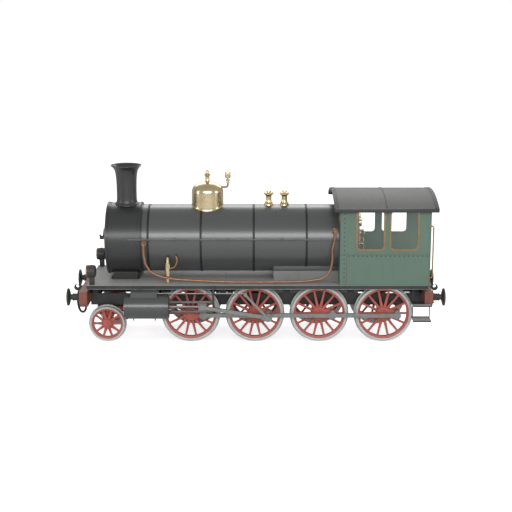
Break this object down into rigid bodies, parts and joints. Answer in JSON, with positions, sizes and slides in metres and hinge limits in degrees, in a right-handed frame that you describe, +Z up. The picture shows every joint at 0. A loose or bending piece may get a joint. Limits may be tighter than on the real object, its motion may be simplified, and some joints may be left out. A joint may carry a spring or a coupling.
{
  "type": "steam locomotive",
  "caption": "Tank-less 2-8-0 steam locomotive without tender: frames, boiler, cab, spoked wheels, rods and crossheads, on real joints.",
  "frame": {"origin": "midway between the buffer faces, on the centre plane, at the lowest point of the wheel flanges", "axes": "-X towards the chimney end, -Y towards the left side, +Z up"},
  "size_m": [8.14, 2.6398, 3.7799],
  "materials": {
    "red_paint": "satin red paint, weathered",
    "green_paint": "satin green paint, dusty",
    "black_paint": "satin black paint",
    "boiler_paint": "dark grey paint, dusty",
    "board_plate": "worn grey plate",
    "rod_steel": "oiled bright steel",
    "tyre_steel": "light grey tyre steel",
    "brass": "dull brass",
    "copper": "dull copper",
    "roof_sheet": "grey roof sheet",
    "floor_wood": "oiled planks",
    "hose_rubber": "black rubber",
    "window_glass": "clear glass"
  },
  "bodies": {
    "root": {"main_frame": "black_paint", "axle_boxes": "black_paint", "front_buffer_beam": "red_paint", "rear_buffer_beam": "red_paint", "front_buffers": "black_paint", "rear_buffers": "black_paint", "front_draw_hook": "black_paint", "rear_draw_hook": "black_paint", "front_brake_hose": "hose_rubber", "rear_brake_hose": "hose_rubber", "running_board": "board_plate", "boiler_barrel": "boiler_paint", "boiler_bands": "black_paint", "firebox": "boiler_paint", "smokebox": "black_paint", "smokebox_saddle": "black_paint", "chimney": "black_paint", "steam_dome": "brass", "whistle": "copper", "safety_valves": "brass", "handrails": "rod_steel", "feed_pipes": "copper", "feed_elbows": "copper", "injectors": "brass", "backhead_fittings": "brass", "cab_floor": "floor_wood", "cab_sides": "green_paint", "cab_front": "green_paint", "cab_roof": "roof_sheet", "cab_window_frames": "brass", "cab_glass": "window_glass", "cab_grab_rails": "brass", "cab_steps": "black_paint", "cylinders": "black_paint", "slide_bars": "black_paint", "valve_rods": "rod_steel", "headlamps": "black_paint"},
    "pony_truck": {"pony_truck_frame": "red_paint"},
    "leading_axle": {"leading_wheelset": "red_paint", "leading_tyres": "tyre_steel"},
    "smokebox_door": {"smokebox_door": "black_paint"},
    "fire_door": {"fire_door": "black_paint"},
    "driving_axle_1": {"driving_wheelset_1": "red_paint", "driving_tyres_1": "tyre_steel"},
    "driving_axle_2": {"driving_wheelset_2": "red_paint", "driving_tyres_2": "tyre_steel"},
    "driving_axle_3": {"driving_wheelset_3": "red_paint", "driving_tyres_3": "tyre_steel"},
    "driving_axle_4": {"driving_wheelset_4": "red_paint", "driving_tyres_4": "tyre_steel"},
    "left_coupling_rod": {"left_coupling_rod": "rod_steel"},
    "left_connecting_rod": {"left_connecting_rod": "rod_steel", "left_eccentric_rod": "rod_steel"},
    "left_crosshead": {"left_crosshead": "rod_steel"},
    "right_coupling_rod": {"right_coupling_rod": "rod_steel"},
    "right_connecting_rod": {"right_connecting_rod": "rod_steel", "right_eccentric_rod": "rod_steel"},
    "right_crosshead": {"right_crosshead": "rod_steel"}
  },
  "joints": [
    {"name": "pony_truck_swing", "type": "hinge", "parent": "root", "child": "pony_truck", "pos_m": [-2.23, 0, 0.6], "axis": [0, 0, 1], "range_deg": [-2.5, 2.5]},
    {"name": "leading_axle_spin", "type": "hinge", "parent": "pony_truck", "child": "leading_axle", "pos_m": [-3.23, 0, 0.413], "axis": [0, 1, 0], "continuous": true},
    {"name": "driving_axle_2_spin", "type": "hinge", "parent": "root", "child": "driving_axle_2", "pos_m": [-0.023, 0, 0.643], "axis": [0, 1, 0], "continuous": true},
    {"name": "driving_axle_1_spin", "type": "hinge", "parent": "root", "child": "driving_axle_1", "pos_m": [-1.415, 0, 0.643], "axis": [0, 1, 0], "continuous": true},
    {"name": "driving_axle_3_spin", "type": "hinge", "parent": "root", "child": "driving_axle_3", "pos_m": [1.369, 0, 0.643], "axis": [0, 1, 0], "continuous": true},
    {"name": "driving_axle_4_spin", "type": "hinge", "parent": "root", "child": "driving_axle_4", "pos_m": [2.761, 0, 0.643], "axis": [0, 1, 0], "continuous": true},
    {"name": "left_coupling_rod_pin", "type": "hinge", "parent": "driving_axle_2", "child": "left_coupling_rod", "pos_m": [0.257, -0.93, 0.643], "axis": [0, 1, 0], "continuous": true},
    {"name": "left_connecting_rod_pin", "type": "hinge", "parent": "driving_axle_2", "child": "left_connecting_rod", "pos_m": [0.257, -1.115, 0.643], "axis": [0, 1, 0], "continuous": true},
    {"name": "right_coupling_rod_pin", "type": "hinge", "parent": "driving_axle_2", "child": "right_coupling_rod", "pos_m": [-0.023, 0.93, 0.923], "axis": [0, 1, 0], "continuous": true},
    {"name": "right_connecting_rod_pin", "type": "hinge", "parent": "driving_axle_2", "child": "right_connecting_rod", "pos_m": [-0.023, 1.115, 0.923], "axis": [0, 1, 0], "continuous": true},
    {"name": "left_crosshead_slide", "type": "slide", "parent": "root", "child": "left_crosshead", "axis": [1, 0, 0], "range_m": [-0.56, 0]},
    {"name": "right_crosshead_slide", "type": "slide", "parent": "root", "child": "right_crosshead", "axis": [1, 0, 0], "range_m": [-0.26, 0.3]},
    {"name": "smokebox_door_hinge", "type": "hinge", "parent": "root", "child": "smokebox_door", "pos_m": [-3.274, 0.69, 2.165], "axis": [0, 0, -1], "range_deg": [0, 95]},
    {"name": "fire_door_hinge", "type": "hinge", "parent": "root", "child": "fire_door", "pos_m": [2.264, -0.27, 1.8], "axis": [0, 0, -1], "range_deg": [0, 100]}
  ],
  "couplings": [
    {"joint": "driving_axle_1_spin", "follows": "driving_axle_2_spin", "ratio": 1},
    {"joint": "driving_axle_3_spin", "follows": "driving_axle_2_spin", "ratio": 1},
    {"joint": "driving_axle_4_spin", "follows": "driving_axle_2_spin", "ratio": 1},
    {"joint": "left_coupling_rod_pin", "follows": "driving_axle_2_spin", "ratio": -1},
    {"joint": "left_connecting_rod_pin", "follows": "driving_axle_2_spin", "ratio": -1},
    {"joint": "right_coupling_rod_pin", "follows": "driving_axle_2_spin", "ratio": -1},
    {"joint": "right_connecting_rod_pin", "follows": "driving_axle_2_spin", "ratio": -1}
  ]
}
